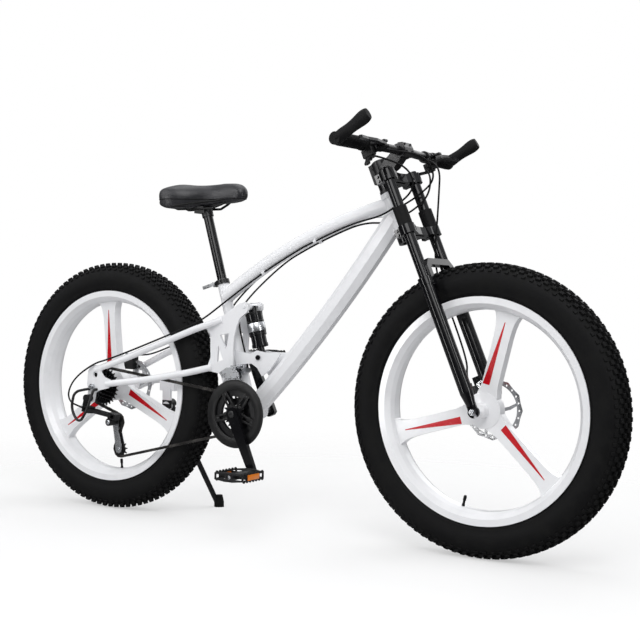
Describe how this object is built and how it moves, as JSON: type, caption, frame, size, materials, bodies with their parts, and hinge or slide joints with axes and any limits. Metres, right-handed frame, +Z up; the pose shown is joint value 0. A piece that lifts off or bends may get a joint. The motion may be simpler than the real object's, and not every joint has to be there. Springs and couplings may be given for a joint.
{
  "type": "bicycle",
  "caption": "White full-suspension fat tire bike with cast three-spoke wheels, double-crown fork, disc brakes and a derailleur drivetrain.",
  "frame": {"origin": "on the ground, midway between the wheels, in the middle plane", "axes": "+X forward, +Y to the rider's left, +Z up"},
  "size_m": [1.96, 0.625, 1.094],
  "materials": {
    "frame_white": "gloss white enamel",
    "wheel_white": "satin white enamel on cast magnesium",
    "tyre": "matt",
    "fork_black": "gloss black",
    "black_metal": "satin black",
    "steel": "satin",
    "chrome": "polished",
    "rubber": "matt",
    "plastic": "matt",
    "saddle_cover": "soft sheen"
  },
  "bodies": {
    "frame": {"main_frame": "frame_white", "bearing_cups": "black_metal", "seat_clamp": "black_metal", "front_derailleur_body": "black_metal", "chain": "steel", "control_cables": "rubber"},
    "seat_post": {"seatpost": "fork_black", "saddle_clamp": "black_metal", "saddle_base": "plastic", "saddle_pad": "saddle_cover"},
    "seat_lever": {"seat_clamp_lever": "black_metal"},
    "front_changer_cage": {"front_derailleur_cage": "chrome"},
    "swing": {"swingarm": "frame_white", "pivot_axle": "steel", "rear_axle": "steel", "rear_caliper": "black_metal", "derailleur_mount": "black_metal", "derailleur_guard": "black_metal", "kickstand_bracket": "black_metal"},
    "rear_brake_arm": {"rear_caliper_arm": "steel"},
    "stand": {"kickstand_leg": "black_metal", "kickstand_foot": "rubber"},
    "rear_wheel": {"rear_wheel": "wheel_white", "rear_tyre": "tyre", "rear_rotor": "steel"},
    "freewheel": {"freewheel": "steel"},
    "changer_outer": {"derailleur_outer_link": "black_metal"},
    "changer_inner": {"derailleur_inner_link": "black_metal"},
    "changer_knuckle": {"derailleur_knuckle": "black_metal"},
    "changer_cage": {"derailleur_cage": "chrome"},
    "upper_jockey": {"upper_jockey_wheel": "plastic"},
    "lower_jockey": {"lower_jockey_wheel": "plastic"},
    "crank": {"crank_spindle": "steel", "right_crank": "black_metal", "left_crank": "black_metal", "chainrings": "black_metal", "chain_guard": "plastic", "pedal_axles": "steel"},
    "right_pedal": {"right_pedal": "plastic"},
    "left_pedal": {"left_pedal": "plastic"},
    "shock_low": {"shock_shaft": "black_metal"},
    "shock_high": {"shock_body": "plastic"},
    "steer": {"fork_crowns": "fork_black", "stanchions": "fork_black", "stanchion_bumpers": "rubber", "stem": "fork_black", "handlebar": "fork_black", "grips": "rubber", "control_pods": "plastic"},
    "right_brake": {"right_brake_lever": "black_metal"},
    "left_brake": {"left_brake_lever": "black_metal"},
    "right_shift": {"right_shift_lever": "plastic"},
    "left_shift": {"left_shift_lever": "plastic"},
    "fork": {"fork_lowers": "fork_black", "front_axle": "steel", "front_caliper": "black_metal"},
    "front_brake_arm": {"front_caliper_arm": "steel"},
    "front_wheel": {"front_wheel": "wheel_white", "front_tyre": "tyre", "front_rotor": "steel"}
  },
  "joints": [
    {"name": "seat_height", "type": "slide", "parent": "frame", "child": "seat_post", "axis": [-0.2857, 0, 0.9583], "range_m": [-0.12, 0.05]},
    {"name": "seat_quick_release", "type": "hinge", "parent": "frame", "child": "seat_lever", "pos_m": [-0.2377, -0.013, 0.67729], "axis": [0, 1, 0], "range_deg": [0, 80]},
    {"name": "front_changer", "type": "hinge", "parent": "frame", "child": "front_changer_cage", "pos_m": [-0.11384, -0.049, 0.4503], "axis": [-1, 0, 0], "range_deg": [0, 12], "deforming": ["control_cables"]},
    {"name": "rear_suspension", "type": "hinge", "parent": "frame", "child": "swing", "pos_m": [-0.165, 0, 0.398], "axis": [0, 1, 0], "range_deg": [0, 9], "stiffness_Nm_per_rad": 2600, "springref_deg": -2.58, "deforming": ["chain", "control_cables"]},
    {"name": "shock_swing", "type": "hinge", "parent": "frame", "child": "shock_low", "pos_m": [-0.072, 0, 0.475], "axis": [0, 1, 0], "range_deg": [0, 13.1]},
    {"name": "shock_stroke", "type": "slide", "parent": "shock_low", "child": "shock_high", "axis": [0.2602, 0, -0.9655], "range_m": [0, 0.0169]},
    {"name": "rear_wheel_spin", "type": "hinge", "parent": "swing", "child": "rear_wheel", "pos_m": [-0.61, 0, 0.37], "axis": [0, 1, 0], "continuous": true},
    {"name": "freewheel_spin", "type": "hinge", "parent": "swing", "child": "freewheel", "pos_m": [-0.61, 0, 0.37], "axis": [0, 1, 0], "continuous": true, "deforming": ["chain"]},
    {"name": "rear_caliper_pull", "type": "hinge", "parent": "swing", "child": "rear_brake_arm", "pos_m": [-0.626, 0.084, 0.436], "axis": [0, 1, 0], "range_deg": [0, 15]},
    {"name": "kickstand_fold", "type": "hinge", "parent": "swing", "child": "stand", "pos_m": [-0.475, 0.095, 0.315], "axis": [0, 0.9574, 0.2887], "range_deg": [0, 100]},
    {"name": "rear_changer_outer", "type": "hinge", "parent": "swing", "child": "changer_outer", "pos_m": [-0.61693, -0.118, 0.30166], "axis": [-0.2198, 0, -0.9755], "range_deg": [0, 25], "deforming": ["chain", "control_cables"]},
    {"name": "rear_changer_inner", "type": "hinge", "parent": "swing", "child": "changer_inner", "pos_m": [-0.61107, -0.103, 0.30034], "axis": [-0.2198, 0, -0.9755], "range_deg": [0, 25]},
    {"name": "rear_changer_knuckle", "type": "hinge", "parent": "changer_outer", "child": "changer_knuckle", "pos_m": [-0.55093, -0.094, 0.28679], "axis": [-0.2198, 0, -0.9755], "range_deg": [-25, 0]},
    {"name": "chain_tensioner", "type": "hinge", "parent": "changer_knuckle", "child": "changer_cage", "pos_m": [-0.55218, -0.075, 0.26759], "axis": [0, 1, 0], "range_deg": [-10, 20], "deforming": ["chain"]},
    {"name": "upper_jockey_spin", "type": "hinge", "parent": "changer_cage", "child": "upper_jockey", "pos_m": [-0.55218, -0.06, 0.26759], "axis": [0, 1, 0], "continuous": true},
    {"name": "lower_jockey_spin", "type": "hinge", "parent": "changer_cage", "child": "lower_jockey", "pos_m": [-0.53718, -0.06, 0.18659], "axis": [0, 1, 0], "continuous": true},
    {"name": "crank_spin", "type": "hinge", "parent": "frame", "child": "crank", "pos_m": [-0.106, 0, 0.3195], "axis": [0, 1, 0], "continuous": true, "deforming": ["chain"]},
    {"name": "right_pedal_spin", "type": "hinge", "parent": "crank", "child": "right_pedal", "pos_m": [-0.03523, -0.153, 0.16493], "axis": [0, 1, 0], "continuous": true},
    {"name": "left_pedal_spin", "type": "hinge", "parent": "crank", "child": "left_pedal", "pos_m": [-0.17677, 0.153, 0.47407], "axis": [0, 1, 0], "continuous": true},
    {"name": "steering", "type": "hinge", "parent": "frame", "child": "steer", "pos_m": [0.34665, 0, 0.86969], "axis": [-0.3935, 0, 0.9193], "range_deg": [-35, 35], "deforming": ["control_cables"]},
    {"name": "fork_travel", "type": "slide", "parent": "steer", "child": "fork", "axis": [-0.3935, 0, 0.9193], "range_m": [0, 0.05], "stiffness_N_per_m": 9000, "springref_m": -0.03, "deforming": ["control_cables"]},
    {"name": "front_wheel_spin", "type": "hinge", "parent": "fork", "child": "front_wheel", "pos_m": [0.61, 0, 0.37], "axis": [0, 1, 0], "continuous": true},
    {"name": "front_caliper_pull", "type": "hinge", "parent": "fork", "child": "front_brake_arm", "pos_m": [0.54036, 0.064, 0.39676], "axis": [0, 1, 0], "range_deg": [0, 15]},
    {"name": "right_brake_lever", "type": "hinge", "parent": "steer", "child": "right_brake", "pos_m": [0.38747, -0.15042, 1.02862], "axis": [0.3933, -0.025, -0.9191], "range_deg": [0, 12], "stiffness_Nm_per_rad": 2, "springref_deg": -5.73},
    {"name": "right_shift_lever", "type": "hinge", "parent": "steer", "child": "right_shift", "pos_m": [0.36131, -0.1675, 0.99526], "axis": [0.3933, -0.025, -0.9191], "range_deg": [0, 25], "stiffness_Nm_per_rad": 0.5, "springref_deg": -5.73},
    {"name": "left_brake_lever", "type": "hinge", "parent": "steer", "child": "left_brake", "pos_m": [0.38747, 0.15042, 1.02862], "axis": [-0.3933, -0.025, 0.9191], "range_deg": [0, 12], "stiffness_Nm_per_rad": 2, "springref_deg": -5.73},
    {"name": "left_shift_lever", "type": "hinge", "parent": "steer", "child": "left_shift", "pos_m": [0.36131, 0.1675, 0.99526], "axis": [-0.3933, -0.025, 0.9191], "range_deg": [0, 25], "stiffness_Nm_per_rad": 0.5, "springref_deg": -5.73}
  ],
  "couplings": [
    {"joint": "shock_swing", "follows": "rear_suspension", "ratio": 1.4255},
    {"joint": "shock_stroke", "follows": "rear_suspension", "m_per_rad": 0.10503},
    {"joint": "freewheel_spin", "follows": "crank_spin", "ratio": 0.85714},
    {"joint": "upper_jockey_spin", "follows": "crank_spin", "ratio": -2.1818},
    {"joint": "lower_jockey_spin", "follows": "crank_spin", "ratio": 2.1818},
    {"joint": "rear_changer_outer", "follows": "right_shift_lever", "ratio": 1},
    {"joint": "rear_changer_inner", "follows": "right_shift_lever", "ratio": 1},
    {"joint": "rear_changer_knuckle", "follows": "right_shift_lever", "ratio": -1},
    {"joint": "front_changer", "follows": "left_shift_lever", "ratio": 0.48},
    {"joint": "rear_caliper_pull", "follows": "right_brake_lever", "ratio": 1.25},
    {"joint": "front_caliper_pull", "follows": "left_brake_lever", "ratio": 1.25}
  ]
}
